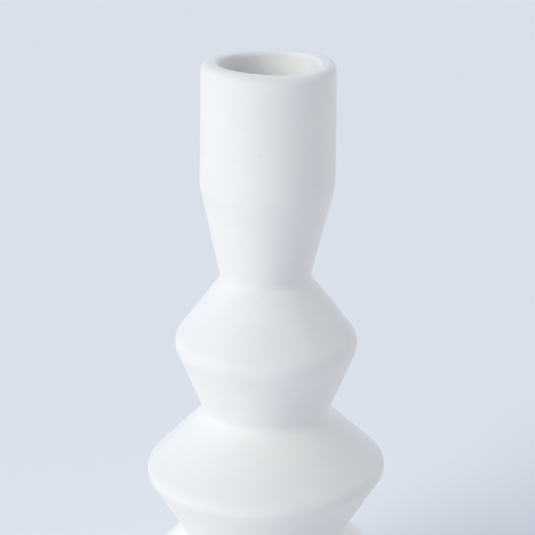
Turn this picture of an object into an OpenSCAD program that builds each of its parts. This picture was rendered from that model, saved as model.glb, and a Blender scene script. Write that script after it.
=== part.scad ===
// Ceramic bud vase: a straight mouth tube over a tapered neck and three
// stacked double-cone tiers, each wider than the one above it.
// Millimetres. The origin is the centre of the base on the surface that the
// vase stands on, and +Z is up.

/* [Neck] */
// Outside radius at the mouth
mouth_r = 18.2; // [17:0.1:19]
// Outside radius of the corner where the tube meets the taper
collar_r = 18.5; // [17.6:0.1:20]
// Height of the straight tube
tube_h = 33.7; // [25:0.1:45]
// Height of the taper below the tube
taper_h = 26; // [20:0.5:36]
// Radius that softens the collar corner
collar_round = 8; // [2:0.5:12]

/* [Upper tier] */
// Outside radius of the waist above the upper tier
waist_1_r = 12.4; // [11:0.1:15]
// Radius of the upper tier's ridge, before it is rounded
ridge_1_r = 26.2; // [24:0.1:29]
// Height of the upper tier's shoulder
shoulder_1_h = 18.4; // [16:0.1:22]
// Height of the upper tier's underside
underside_1_h = 20.9; // [19:0.1:25]
// Radius that rounds the upper tier's ridge
ridge_1_round = 5.5; // [2:0.5:6]

/* [Middle tier] */
// Outside radius of the waist above the middle tier
waist_2_r = 17.5; // [16:0.1:20]
// Radius of the middle tier's ridge, before it is rounded
ridge_2_r = 34.6; // [32:0.1:37]
// Height of the middle tier's shoulder
shoulder_2_h = 16.7; // [15:0.1:20]
// Height of the middle tier's underside
underside_2_h = 18.9; // [18:0.1:24]
// Radius that rounds the middle tier's ridge
ridge_2_round = 3.6; // [2:0.1:5]

/* [Lower tier] */
// Outside radius of the waist above the lower tier
waist_3_r = 22.8; // [21:0.1:24]
// Radius of the lower tier's ridge, before it is rounded
ridge_3_r = 41.8; // [38:0.1:44]
// Height of the lower tier's shoulder
shoulder_3_h = 21.5; // [19:0.1:24]
// Height of the lower tier's underside
underside_3_h = 19; // [17:0.1:22]
// Radius that rounds the lower tier's ridge
ridge_3_round = 4; // [2:0.5:5]

/* [Wall and lip] */
// Thickness of the ceramic wall, measured square to it
wall = 4.8; // [4.5:0.05:5.1]
// Thickness of the floor over the foot ring
floor_t = 5.2; // [4.5:0.1:6.5]
// Radius that rounds the outer edge of the lip
lip_outer_round = 2.3; // [1:0.1:3]
// Radius that rounds the inner edge of the lip
lip_inner_round = 1.2; // [0.3:0.1:1.4]
// Radius that softens the crease of each waist
waist_round = 3; // [1:0.1:4]

/* [Foot] */
// Radius of the flat foot
foot_r = 28.5; // [27:0.1:31]
// Radius that rounds the edge of the foot
foot_round = 1.2; // [0.5:0.1:2]
// Radius of the recess under the base
recess_r = 15; // [10:0.5:16]
// Depth of the recess under the base
recess_depth = 1.2; // [0.5:0.1:1.5]

/* [Interior glaze] */
// Thickness of the fired glaze
glaze_t = 0.35; // [0.3:0.05:0.5]
// Distance from the top of the lip down to the edge of the glaze
glaze_edge_depth = 7.5; // [4:0.5:12]
// Height over which the glaze thins out to nothing at its edge
glaze_feather = 1.6; // [0.5:0.1:3]
// Radius that rounds the inside at each ridge and at the floor
hollow_round = 5; // [3:0.5:6]

/* [Felt pads] */
// Number of pads under the foot
pad_count = 4; // [3:1:6]
// Radius of a pad
pad_r = 4; // [3:0.5:4.5]
// Thickness of a pad
pad_t = 1.2; // [1:0.1:2]
// Distance of each pad's centre from the axis
pad_ring_r = 22; // [20.5:0.5:22.5]

/* [Hidden] */
// Largest turn between two neighbouring points of a rounded corner, degrees
arc_step = 6;
// Facets of every round shape
$fn = 128;

// Heights of the outline's corners, from the foot upwards
foot_z = pad_t;
ridge_3_z = foot_z + underside_3_h;
waist_3_z = ridge_3_z + shoulder_3_h;
ridge_2_z = waist_3_z + underside_2_h;
waist_2_z = ridge_2_z + shoulder_2_h;
ridge_1_z = waist_2_z + underside_1_h;
waist_1_z = ridge_1_z + shoulder_1_h;
collar_z = waist_1_z + taper_h;
mouth_z = collar_z + tube_h;
floor_z = foot_z + floor_t;

// Corners shared by the outside and the hollow, as [radius, height, rounding]
tier_corners = [
    [ridge_3_r, ridge_3_z, ridge_3_round],
    [waist_3_r, waist_3_z, waist_round],
    [ridge_2_r, ridge_2_z, ridge_2_round],
    [waist_2_r, waist_2_z, waist_round],
    [ridge_1_r, ridge_1_z, ridge_1_round],
    [waist_1_r, waist_1_z, waist_round]
];

// The radius and height of a corner, without its rounding
function place(corner) = [corner.x, corner.y];

// A vector of length 1 in the direction of v
function unit(v) = v / norm(v);

// v turned to the left by a quarter turn
function left(v) = [-v.y, v.x];

// v turned to the left by an angle in degrees
function turned(v, angle) = [v.x * cos(angle) - v.y * sin(angle), v.x * sin(angle) + v.y * cos(angle)];

// The corner at b of the path a, b, c, moved to the path that runs at a
// distance on its left
function inset(a, b, c, distance) =
    let (n1 = left(unit(b - a)), n2 = left(unit(c - b)))
    b + distance * (n1 + n2) / (1 + n1 * n2);

// The arc of a given radius that rounds the corner at b of the path a, b, c
function corner_arc(a, b, c, radius) =
    let (
        back = unit(a - b),
        ahead = unit(c - b),
        half_angle = acos(back * ahead) / 2,
        centre = b + unit(back + ahead) * radius / sin(half_angle),
        start = b + back * radius / tan(half_angle) - centre,
        turn = (180 - 2 * half_angle) * sign(cross(b - a, c - b)),
        steps = ceil(abs(turn) / arc_step)
    )
    [for (i = [0 : steps]) centre + turned(start, turn * i / steps)];

// A path through corners given as [radius, height, rounding], with each
// rounded corner drawn as an arc; the first and the last stay sharp
function rounded_path(corners) =
    let (last = len(corners) - 1)
    [
        for (i = [0 : last])
            if (i == 0 || i == last || corners[i].z == 0)
                place(corners[i])
            else
                each corner_arc(place(corners[i - 1]), place(corners[i]), place(corners[i + 1]), corners[i].z)
    ];

function reversed(list) = [for (i = [len(list) - 1 : -1 : 0]) list[i]];

// Corners of the hollow, a given depth inside the outside surface, from the
// centre of the floor up to the top of the tube. The tube's bore is a true
// cylinder, so the hollow follows the mouth's radius down to the collar.
function hollow_corners(depth, top_z, top_round) =
    let (
        outline = concat([[foot_r, foot_z, 0]], tier_corners, [[mouth_r, collar_z, 0], [mouth_r, mouth_z, 0]]),
        extra = depth - wall,
        tiers = [
            for (i = [1 : len(outline) - 2])
                let (
                    spot = inset(place(outline[i - 1]), place(outline[i]), place(outline[i + 1]), depth),
                    is_waist = i % 2 == 0
                )
                [spot.x, spot.y, is_waist ? wall + waist_round + extra : hollow_round - extra]
        ],
        side = place(outline[1]) - place(outline[0]),
        bottom_z = floor_z + extra,
        bottom_r = tiers[0].x + side.x * (bottom_z - tiers[0].y) / side.y
    )
    concat(
        [[0, bottom_z, 0], [bottom_r, bottom_z, hollow_round - extra]],
        tiers,
        [[mouth_r - depth, top_z, top_round]]
    );

// Half of the ceramic's cross-section
module body_section() {
    outside = concat(
        [[0, foot_z + recess_depth, 0]],
        [[recess_r, foot_z + recess_depth, recess_depth / 2]],
        [[recess_r + recess_depth, foot_z, recess_depth / 2]],
        [[foot_r, foot_z, foot_round]],
        tier_corners,
        [[collar_r, collar_z, collar_round]],
        [[mouth_r, mouth_z, lip_outer_round]]
    );
    hollow = hollow_corners(wall, mouth_z, lip_inner_round);
    polygon(rounded_path(concat(outside, reversed(hollow))));
}

// Half of the glaze's cross-section
module glaze_section() {
    edge_z = mouth_z - glaze_edge_depth;
    against_wall = rounded_path(hollow_corners(wall, edge_z, 0));
    facing_hollow = rounded_path(hollow_corners(wall + glaze_t, edge_z - glaze_feather, 0));
    polygon(concat(against_wall, reversed(facing_hollow)));
}

// The one-piece ceramic casting
module vase_body() {
    color("white")
        rotate_extrude()
            body_section();
}

// The fired glaze that seals the inside
module interior_glaze() {
    color("whitesmoke")
        rotate_extrude()
            glaze_section();
}

// Self-adhesive felt pads under the foot
module base_pads() {
    color("gainsboro")
        for (i = [0 : pad_count - 1])
            rotate([0, 0, (i + 0.5) * 360 / pad_count])
                translate([pad_ring_r, 0, 0])
                    cylinder(h = pad_t, r = pad_r);
}

vase_body();
interior_glaze();
base_pads();
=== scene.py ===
"""A matte white ceramic bud vase on a pale studio floor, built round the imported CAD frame.

Lengths are in metres, apart from those in the materials and the lens, which are in millimetres.
"""
import math
import random

import bpy
import numpy as np
from mathutils import Matrix, Vector


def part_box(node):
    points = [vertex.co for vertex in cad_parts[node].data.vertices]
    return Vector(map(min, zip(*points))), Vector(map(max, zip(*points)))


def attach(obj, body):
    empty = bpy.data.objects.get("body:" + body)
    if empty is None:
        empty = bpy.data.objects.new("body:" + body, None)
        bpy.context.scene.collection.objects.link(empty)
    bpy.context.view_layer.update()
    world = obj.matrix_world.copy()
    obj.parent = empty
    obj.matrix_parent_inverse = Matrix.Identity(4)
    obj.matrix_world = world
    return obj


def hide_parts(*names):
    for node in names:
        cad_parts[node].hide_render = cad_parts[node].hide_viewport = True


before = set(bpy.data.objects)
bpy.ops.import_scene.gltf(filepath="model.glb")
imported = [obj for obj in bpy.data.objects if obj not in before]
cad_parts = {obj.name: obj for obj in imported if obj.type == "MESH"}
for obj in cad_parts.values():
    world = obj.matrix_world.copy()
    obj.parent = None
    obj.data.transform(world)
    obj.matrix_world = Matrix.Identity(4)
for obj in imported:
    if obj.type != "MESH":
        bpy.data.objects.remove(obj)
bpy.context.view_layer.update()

MM = 0.001
random.seed(7)

# ---------------------------------------------------------------------------
# Places, all taken from the frame
# ---------------------------------------------------------------------------
MOUTH_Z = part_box("vase_body")[1].z
PAD_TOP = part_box("base_pads")[1].z

# ---------------------------------------------------------------------------
# Reading the section of a turned CAD node
# ---------------------------------------------------------------------------
SAME_RING = 2e-6  # rings closer than this are one ring
ROUNDING = SAME_RING / 10  # more than the rounding error of a coordinate
RING_GAP = 2.5 * MM  # the longest stretch between two rings of a mesh
SEGMENTS = 224  # facets round the axis


def levels(values):
    """The distinct values in an array, in order, with near-equal ones taken as one."""
    ordered = np.sort(values)
    starts = np.nonzero(np.diff(ordered) > SAME_RING)[0] + 1
    return ordered[np.concatenate([[0], starts])]


def level_index(values, steps):
    """Which of the levels each value belongs to."""
    return np.searchsorted(steps, values + ROUNDING, side="right") - 1


def section(node):
    """(radius, height) of each ring of a turned CAD node, in order along its surface."""
    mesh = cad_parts[node].data
    points = np.array([v.co for v in mesh.vertices])
    radii = np.hypot(points[:, 0], points[:, 1])
    r_steps, z_steps = levels(radii), levels(points[:, 2])
    rings = list(zip(level_index(radii, r_steps).tolist(), level_index(points[:, 2], z_steps).tolist()))
    joined = {}
    for edge in mesh.edges:
        a, b = (rings[v] for v in edge.vertices)
        if a != b:
            joined.setdefault(a, set()).add(b)
            joined.setdefault(b, set()).add(a)
    path = [min((k for k in joined if len(joined[k]) == 1), key=lambda k: k[1])]
    while True:
        ahead = joined[path[-1]] - set(path[-2:])
        if not ahead:
            break
        path.append(ahead.pop())
    return [(float(r_steps[r]), float(z_steps[z])) for r, z in path]


def refined(outline):
    """The outline closed at the axis at both ends, with its long stretches divided."""
    closed = [(0.0, outline[0][1]), *outline, (0.0, outline[-1][1])]
    result = [closed[0]]
    for (r0, z0), (r1, z1) in zip(closed, closed[1:]):
        parts = max(1, math.ceil(math.hypot(r1 - r0, z1 - z0) / RING_GAP))
        result += [(r0 + (r1 - r0) * i / parts, z0 + (z1 - z0) * i / parts) for i in range(1, parts + 1)]
    return result


# ---------------------------------------------------------------------------
# The small unevenness of a cast and fired piece
# ---------------------------------------------------------------------------
NECK_SAG = (-0.4 * MM, 119 * MM, 17 * MM)  # sideways shift of the axis, its height and its spread
TIER_SAG = (0.13 * MM, 62 * MM, 20 * MM)
WAIST_TILT = (0.017, 114 * MM, 8 * MM)  # slope up to the right, its height and its spread
TIER_TILT = (0.031, 52 * MM, 18 * MM)
SAG_DEPTH = 0.4  # how far each sideways shift also goes to the back, as a share of it
OVAL = 0.0022  # how far the plan departs from a circle, as a share of the radius
OVAL_PHASE = 0.9  # radians, like the other phases
TRILOBE = 0.0012
TRILOBE_PHASE = -0.6
TWIST = 60 * MM  # height over which the oval's phase changes by one radian
TRILOBE_TURN = -0.7  # how far the three lobes' phase changes for each radian of the oval's
LIP_LEAN = 0.2 * MM  # how far the lip rises at the back and falls at the front
LIP_WAVE = 0.29 * MM  # its two swells, front left and back right
LIP_WAVE_PHASE = 0.3
LIP_RIPPLE = 0.1 * MM  # its three smaller ones
LIP_RIPPLE_PHASE = 0.5
LIP_ZONE = 25 * MM  # how far down the tube that rise and fall fades out


def bump_at(z, shape):
    """A smooth hump: its size, the height of its middle, and its spread."""
    size, middle, spread = shape
    return size * np.exp(-(((z - middle) / spread) ** 2))


def as_fired(radius, angle, z):
    """Where a point of the turned form lies on the fired piece."""
    turn = z / TWIST
    oval = OVAL * np.cos(2 * angle + OVAL_PHASE + turn)
    trilobe = TRILOBE * np.cos(3 * angle + TRILOBE_PHASE + TRILOBE_TURN * turn)
    x = radius * (1 + oval + trilobe) * np.cos(angle)
    y = radius * (1 + oval + trilobe) * np.sin(angle)
    sideways = bump_at(z, NECK_SAG) + bump_at(z, TIER_SAG)
    tilt = bump_at(z, WAIST_TILT) + bump_at(z, TIER_TILT)
    fade = np.clip((z - MOUTH_Z + LIP_ZONE) / LIP_ZONE, 0, 1) ** 2
    wave = LIP_WAVE * np.sin(2 * angle + LIP_WAVE_PHASE)
    ripple = LIP_RIPPLE * np.sin(3 * angle + LIP_RIPPLE_PHASE)
    lip_rise = fade * (LIP_LEAN * np.sin(angle) + wave + ripple)
    return x + sideways, y + SAG_DEPTH * sideways, z + lip_rise + tilt * x


def add_object(name, points, faces, material):
    """A smooth-shaded mesh object that rides on the root body."""
    mesh = bpy.data.meshes.new(name)
    mesh.from_pydata(points, [], faces)
    mesh.materials.append(material)
    mesh.polygons.foreach_set("use_smooth", [True] * len(mesh.polygons))
    mesh.update()
    piece = bpy.data.objects.new(name, mesh)
    bpy.context.scene.collection.objects.link(piece)
    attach(piece, "root")
    return piece


def lathe_faces(start, rings, sides, bottom, top):
    """Faces that join rings of points, numbered from start on, with a fan to a point at each end."""
    faces = []
    for i in range(rings - 1):
        low = start + i * sides
        for j in range(sides):
            k = (j + 1) % sides
            faces.append((low + j, low + k, low + sides + k, low + sides + j))
    last = start + (rings - 1) * sides
    for j in range(sides):
        k = (j + 1) % sides
        faces.append((bottom, start + k, start + j))
        faces.append((last + j, last + k, top))
    return faces


def turned(name, node, material):
    """A closed mesh turned from the section of a CAD node, which it replaces."""
    outline = refined(section(node))
    rings = outline[1:-1]
    radius, height = np.array(rings).T
    angle = np.arange(SEGMENTS) * 2 * math.pi / SEGMENTS
    x, y, z = as_fired(radius[:, None], angle[None, :], np.repeat(height[:, None], SEGMENTS, axis=1))
    points = np.stack([x, y, z], axis=-1).reshape(-1, 3).tolist()
    poles = [as_fired(0.0, 0.0, np.float64(outline[i][1])) for i in (0, -1)]
    points += [[float(v) for v in pole] for pole in poles]
    faces = lathe_faces(0, len(rings), SEGMENTS, bottom=len(points) - 2, top=len(points) - 1)
    piece = add_object(name, points, faces, material)
    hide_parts(node)
    return piece


# ---------------------------------------------------------------------------
# Materials
# ---------------------------------------------------------------------------
MIX_FIRST, MIX_SECOND, MIX_RESULT = 6, 7, 2  # the colour sockets of a Mix node


class Nodes:
    """Short calls for building one material's node tree."""

    def __init__(self, name):
        self.material = bpy.data.materials.new(name)
        self.material.use_nodes = True
        self.tree = self.material.node_tree
        self.shader = self.tree.nodes["Principled BSDF"]
        place = self.tree.nodes.new("ShaderNodeTexCoord")
        in_mm = self.tree.nodes.new("ShaderNodeMapping")
        in_mm.inputs["Scale"].default_value = (1 / MM, 1 / MM, 1 / MM)
        self.link(place.outputs["Object"], in_mm.inputs["Vector"])
        self.place = in_mm.outputs["Vector"]

    def link(self, output, socket):
        """Feed one node's output into another's socket."""
        self.tree.links.new(output, socket)

    def noise(self, size, detail=3.0, rough=0.5, vector=None):
        """Soft noise whose features are about size millimetres."""
        node = self.tree.nodes.new("ShaderNodeTexNoise")
        node.inputs["Scale"].default_value = 1 / size
        node.inputs["Detail"].default_value = detail
        node.inputs["Roughness"].default_value = rough
        self.link(vector or self.place, node.inputs["Vector"])
        return node.outputs["Fac"]

    def cells(self, size):
        """The distance to the nearest of scattered points about size millimetres apart."""
        node = self.tree.nodes.new("ShaderNodeTexVoronoi")
        node.inputs["Scale"].default_value = 1 / size
        self.link(self.place, node.inputs["Vector"])
        return node.outputs["Distance"]

    def ramp(self, value, low, high, first=0.0, last=1.0):
        """The value, held to the range low to high and mapped to the range first to last."""
        node = self.tree.nodes.new("ShaderNodeMapRange")
        ends = {"From Min": low, "From Max": high, "To Min": first, "To Max": last}
        for socket, number in ends.items():
            node.inputs[socket].default_value = number
        self.link(value, node.inputs["Value"])
        return node.outputs["Result"]

    def times(self, a, b):
        """The product of two terms, each a number or another node's output."""
        node = self.tree.nodes.new("ShaderNodeMath")
        node.operation = "MULTIPLY"
        for socket, term in zip(node.inputs, (a, b)):
            if isinstance(term, (int, float)):
                socket.default_value = term
            else:
                self.link(term, socket)
        return node.outputs["Value"]

    def blend(self, share, first, second):
        """Two colours, mixed by a share from 0 to 1. Each is a colour or another node's output."""
        node = self.tree.nodes.new("ShaderNodeMix")
        node.data_type = "RGBA"
        self.link(share, node.inputs["Factor"])
        for number, colour in ((MIX_FIRST, first), (MIX_SECOND, second)):
            if isinstance(colour, tuple):
                node.inputs[number].default_value = (*colour, 1)
            else:
                self.link(colour, node.inputs[number])
        return node.outputs[MIX_RESULT]

    def relief(self, height, depth, below=None):
        """Bump by a height from 0 to 1 over a depth in millimetres, laid over another bump."""
        node = self.tree.nodes.new("ShaderNodeBump")
        node.inputs["Distance"].default_value = depth * MM
        self.link(height, node.inputs["Height"])
        if below is not None:
            self.link(below, node.inputs["Normal"])
        return node.outputs["Normal"]

    def axis(self, name):
        """One coordinate of the surface point, in millimetres."""
        node = self.tree.nodes.new("ShaderNodeSeparateXYZ")
        self.link(self.place, node.inputs["Vector"])
        return node.outputs[name]


SANDED_MM = (1.3, 2.4)  # heights between which the sanded foot fades out
POOL_MM = (6.5, 16)  # heights between which the pooled glaze fades out


def bisque():
    """Matte white unglazed ceramic: faint clouding, a fine grain, sparse pinholes and a sanded foot."""
    n = Nodes("bisque")
    cloud = n.ramp(n.noise(14, detail=4), 0.35, 0.65)
    fleck = n.ramp(n.noise(0.9, detail=2), 0.62, 0.74)
    foot = n.ramp(n.axis("Z"), *SANDED_MM, first=1, last=0)
    clay = n.blend(cloud, (0.899, 0.895, 0.889), (0.921, 0.917, 0.909))
    flecked = n.blend(n.times(fleck, 0.25), clay, (0.80, 0.81, 0.81))
    sanded = n.blend(n.times(foot, 0.6), flecked, (0.80, 0.79, 0.765))
    n.link(sanded, n.shader.inputs["Base Color"])
    n.link(n.ramp(n.noise(5, detail=4), 0.3, 0.7, first=0.62, last=0.74), n.shader.inputs["Roughness"])
    n.shader.inputs["Specular IOR Level"].default_value = 0.35
    swell = n.relief(n.noise(9, detail=2), 0.05)
    grain = n.relief(n.noise(0.45, detail=5, rough=0.65), 0.022, swell)
    pinholes = n.relief(n.ramp(n.cells(4.2), 0.0, 0.055), 0.05, grain)
    n.link(pinholes, n.shader.inputs["Normal"])
    return n.material


def clear_glaze():
    """Satin fired glaze over the white clay, a little deeper in colour where it pools."""
    n = Nodes("glaze")
    pool = n.ramp(n.axis("Z"), *POOL_MM, first=1, last=0)
    streak = n.ramp(n.noise(6, detail=3), 0.35, 0.65)
    skin = n.blend(streak, (0.920, 0.912, 0.892), (0.940, 0.932, 0.912))
    n.link(n.blend(n.times(pool, 0.5), skin, (0.80, 0.82, 0.78)), n.shader.inputs["Base Color"])
    n.link(n.ramp(n.noise(3, detail=3), 0.3, 0.7, first=0.30, last=0.42), n.shader.inputs["Roughness"])
    n.shader.inputs["Coat Weight"].default_value = 0.25
    n.shader.inputs["Coat Roughness"].default_value = 0.2
    flow = n.relief(n.noise(7, detail=2), 0.08)
    n.link(n.relief(n.noise(0.8, detail=3), 0.008, flow), n.shader.inputs["Normal"])
    return n.material


def felt():
    """Pressed wool felt: matted fibres in mixed greys."""
    n = Nodes("felt")
    stretch = n.tree.nodes.new("ShaderNodeMapping")
    stretch.inputs["Scale"].default_value = (1, 3.5, 2)
    stretch.inputs["Rotation"].default_value = (0.3, 0.2, 0.7)
    n.link(n.place, stretch.inputs["Vector"])
    strand = n.noise(0.28, detail=6, rough=0.7, vector=stretch.outputs["Vector"])
    tuft = n.noise(1.3, detail=3)
    wool = n.blend(n.ramp(strand, 0.35, 0.65), (0.50, 0.49, 0.47), (0.80, 0.79, 0.76))
    tufted = n.blend(n.ramp(tuft, 0.4, 0.7, last=0.35), wool, (0.62, 0.60, 0.57))
    n.link(tufted, n.shader.inputs["Base Color"])
    n.shader.inputs["Roughness"].default_value = 0.95
    n.shader.inputs["Sheen Weight"].default_value = 0.3
    n.shader.inputs["Sheen Roughness"].default_value = 0.5
    matted = n.relief(tuft, 0.15)
    n.link(n.relief(strand, 0.12, matted), n.shader.inputs["Normal"])
    return n.material


def studio_paper():
    """The pale floor."""
    n = Nodes("studio_paper")
    tone = n.ramp(n.noise(120, detail=2), 0.3, 0.7)
    n.link(n.blend(tone, (0.937, 0.944, 0.955), (0.947, 0.952, 0.96)), n.shader.inputs["Base Color"])
    n.shader.inputs["Roughness"].default_value = 0.9
    n.shader.inputs["Specular IOR Level"].default_value = 0.1
    return n.material


# ---------------------------------------------------------------------------
# Felt pads
# ---------------------------------------------------------------------------
PAD_SIDES = 72  # facets round a pad
PAD_FRAY = 0.1 * MM  # how far the cut edge strays
# Each ring of a pad is (share of the radius, share of the height, how far the edge strays there).
PAD_RINGS = [(0.5, 0.0, 0), (0.93, 0.0, 0.3), (0.985, 0.12, 0.8), (1.0, 0.4, 1),
             (0.995, 0.7, 1), (0.975, 0.92, 0.6), (0.93, 1.0, 0.2), (0.5, 1.0, 0)]

FIBRES = 90  # loose fibres round each pad's edge
FIBRE_R = 0.018 * MM
FIBRE_SIDES = 3
FIBRE_STEPS = (0, 0.4, 0.75, 1)  # shares of the length at which a fibre has its points
FIBRE_TAPER = 0.25  # how much thinner it gets at each of them, as a share of its radius at the root
FIBRE_ROOT = 0.25 * MM  # how deep in the felt it starts
FIBRE_SHORT, FIBRE_LONG = 0.35 * MM, 0.8 * MM
UP = Vector((0, 0, 1))


def pad_places():
    """The centre of each pad and the pads' common radius, from the corners of the CAD solids."""
    points = np.array([v.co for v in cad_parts["base_pads"].data.vertices])[:, :2]
    quarters = [(1, 1), (-1, 1), (-1, -1), (1, -1)]
    centres, radius = [], 0
    for sx, sy in quarters:
        own = points[(points[:, 0] * sx > 0) & (points[:, 1] * sy > 0)]
        low, high = own.min(0), own.max(0)
        centres.append(Vector((*((low + high) / 2).tolist(), 0)))
        radius = (high - low).max() / 2
    return centres, float(radius)


def felt_pad(name, centre, radius, material):
    """A round pad with a softly bulging, frayed edge, pressed flat above and below."""
    points = [Vector((0, 0, 0)), PAD_TOP * UP]
    phases = [random.uniform(0, 2 * math.pi) for _ in range(4)]
    for share, lift, stray in PAD_RINGS:
        for j in range(PAD_SIDES):
            a = j * 2 * math.pi / PAD_SIDES
            wave = sum(math.sin((3 + 4 * i) * a + p) / (1 + i) for i, p in enumerate(phases)) / 2
            jitter = random.uniform(-0.5, 0.5)
            r = radius * share - PAD_FRAY * stray * (1 + wave + jitter) / 2
            points.append(Vector((r * math.cos(a), r * math.sin(a), PAD_TOP * lift)))
    faces = lathe_faces(2, len(PAD_RINGS), PAD_SIDES, bottom=0, top=1)
    pad = add_object(name, [p + centre for p in points], faces, material)
    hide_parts("base_pads")
    return pad


def fibre_spine(centre, radius):
    """The points of one loose fibre, from its root in the pad's edge to its tip, and its way out."""
    angle = random.uniform(0, 2 * math.pi)
    out = Vector((math.cos(angle), math.sin(angle), 0))
    along = Vector((-math.sin(angle), math.cos(angle), 0)) * random.uniform(-1, 1)
    root = centre + out * (radius - FIBRE_ROOT) + PAD_TOP * random.uniform(0.2, 0.8) * UP
    length = random.uniform(FIBRE_SHORT, FIBRE_LONG)
    bend = random.uniform(-0.25, 0.25) * UP
    ways = [out + along * step + bend * step * step for step in FIBRE_STEPS]
    return [root + way.normalized() * length * step for way, step in zip(ways, FIBRE_STEPS)], out


def felt_fibres(name, centres, radius, material):
    """Short loose fibres that stand out of the pads' cut edges, as one mesh of three-sided strands."""
    points, faces = [], []
    for centre in centres:
        for _ in range(FIBRES):
            spine, out = fibre_spine(centre, radius)
            base = len(points)
            for i, spot in enumerate(spine):
                thick = FIBRE_R * (1 - FIBRE_TAPER * i)
                for side in range(FIBRE_SIDES):
                    angle = side * 2 * math.pi / FIBRE_SIDES
                    rim = out.cross(UP) * math.cos(angle) + UP * math.sin(angle)
                    points.append(spot + rim * thick)
            for i in range(len(spine) - 1):
                low = base + FIBRE_SIDES * i
                for side in range(FIBRE_SIDES):
                    a, b = low + side, low + (side + 1) % FIBRE_SIDES
                    faces.append((a, b, b + FIBRE_SIDES, a + FIBRE_SIDES))
            last = base + FIBRE_SIDES * (len(spine) - 1)
            faces.append((base + 2, base + 1, base))
            faces.append((last, last + 1, last + 2))
    return add_object(name, points, faces, material)


# ---------------------------------------------------------------------------
# The vase
# ---------------------------------------------------------------------------
body = turned("ceramic_body", "vase_body", bisque())
glaze = turned("glaze_lining", "interior_glaze", clear_glaze())

wool = felt()
centres, pad_radius = pad_places()
for number, centre in enumerate(centres, start=1):
    felt_pad(f"felt_pad_{number}", centre, pad_radius, wool)
felt_fibres("felt_pad_fibres", centres, pad_radius, wool)

# ---------------------------------------------------------------------------
# Studio: floor, light and camera
# ---------------------------------------------------------------------------
scene = bpy.context.scene
scene.view_settings.view_transform = "Standard"

FLOOR_R = 6.0
FLOOR_SIDES = 96
bpy.ops.mesh.primitive_circle_add(vertices=FLOOR_SIDES, radius=FLOOR_R, fill_type="NGON")
floor = bpy.context.object
floor.name = "floor"
floor.data.materials.append(studio_paper())

ROOM_NEAR = (0.277, 0.297, 0.367)  # the room on the camera's side
ROOM_FAR = (0.960, 1.087, 1.364)  # the room straight behind the vase


def room():
    """Pale daylight from all round, which grows brighter towards the far side of the vase."""
    world = bpy.data.worlds.new("room")
    world.use_nodes = True
    tree = world.node_tree
    direction = tree.nodes.new("ShaderNodeTexCoord")
    parts = tree.nodes.new("ShaderNodeSeparateXYZ")
    mix = tree.nodes.new("ShaderNodeMix")
    mix.data_type = "RGBA"
    mix.inputs[MIX_FIRST].default_value = (*ROOM_NEAR, 1)
    mix.inputs[MIX_SECOND].default_value = (*ROOM_FAR, 1)
    tree.links.new(direction.outputs["Generated"], parts.inputs["Vector"])
    tree.links.new(parts.outputs["Y"], mix.inputs["Factor"])
    tree.links.new(mix.outputs[MIX_RESULT], tree.nodes["Background"].inputs["Color"])
    scene.world = world


def soft_light(name, azimuth, elevation, spread, strength, colour):
    """Broad light from far away. Angles are in degrees, and azimuth 0 is the camera's side, 90 its right."""
    a, e = math.radians(azimuth), math.radians(elevation)
    away = Vector((math.sin(a) * math.cos(e), -math.cos(a) * math.cos(e), math.sin(e)))
    lamp = bpy.data.lights.new(name, "SUN")
    lamp.angle = math.radians(spread)
    lamp.energy = strength
    lamp.color = colour
    holder = bpy.data.objects.new(name, lamp)
    holder.rotation_euler = away.to_track_quat("Z", "Y").to_euler()
    scene.collection.objects.link(holder)


room()
soft_light("key", azimuth=-52, elevation=27, spread=40, strength=1.73, colour=(0.992, 1.0, 0.913))
soft_light("fill", azimuth=100, elevation=30, spread=32, strength=0.464, colour=(1.0, 0.935, 0.573))

CAMERA_PITCH = math.radians(18.41)  # below the horizon
CAMERA_ROLL = math.radians(0.5)
CAMERA_DISTANCE = 540.4 * MM
LENS_MM = 132.2
SENSOR_MM = 36
AIM_HEIGHT = 118.8 * MM  # where the view's middle meets the vase's axis
AIM_SIDE = 0.12 * MM

camera_data = bpy.data.cameras.new("camera")
camera_data.lens = LENS_MM
camera_data.sensor_width = SENSOR_MM
camera = bpy.data.objects.new("camera", camera_data)
toward = Vector((0, math.cos(CAMERA_PITCH), -math.sin(CAMERA_PITCH)))
camera.location = Vector((AIM_SIDE, 0, AIM_HEIGHT)) - toward * CAMERA_DISTANCE
aim = toward.to_track_quat("-Z", "Y").to_matrix() @ Matrix.Rotation(CAMERA_ROLL, 3, "Z")
camera.rotation_euler = aim.to_euler()
scene.collection.objects.link(camera)
scene.camera = camera
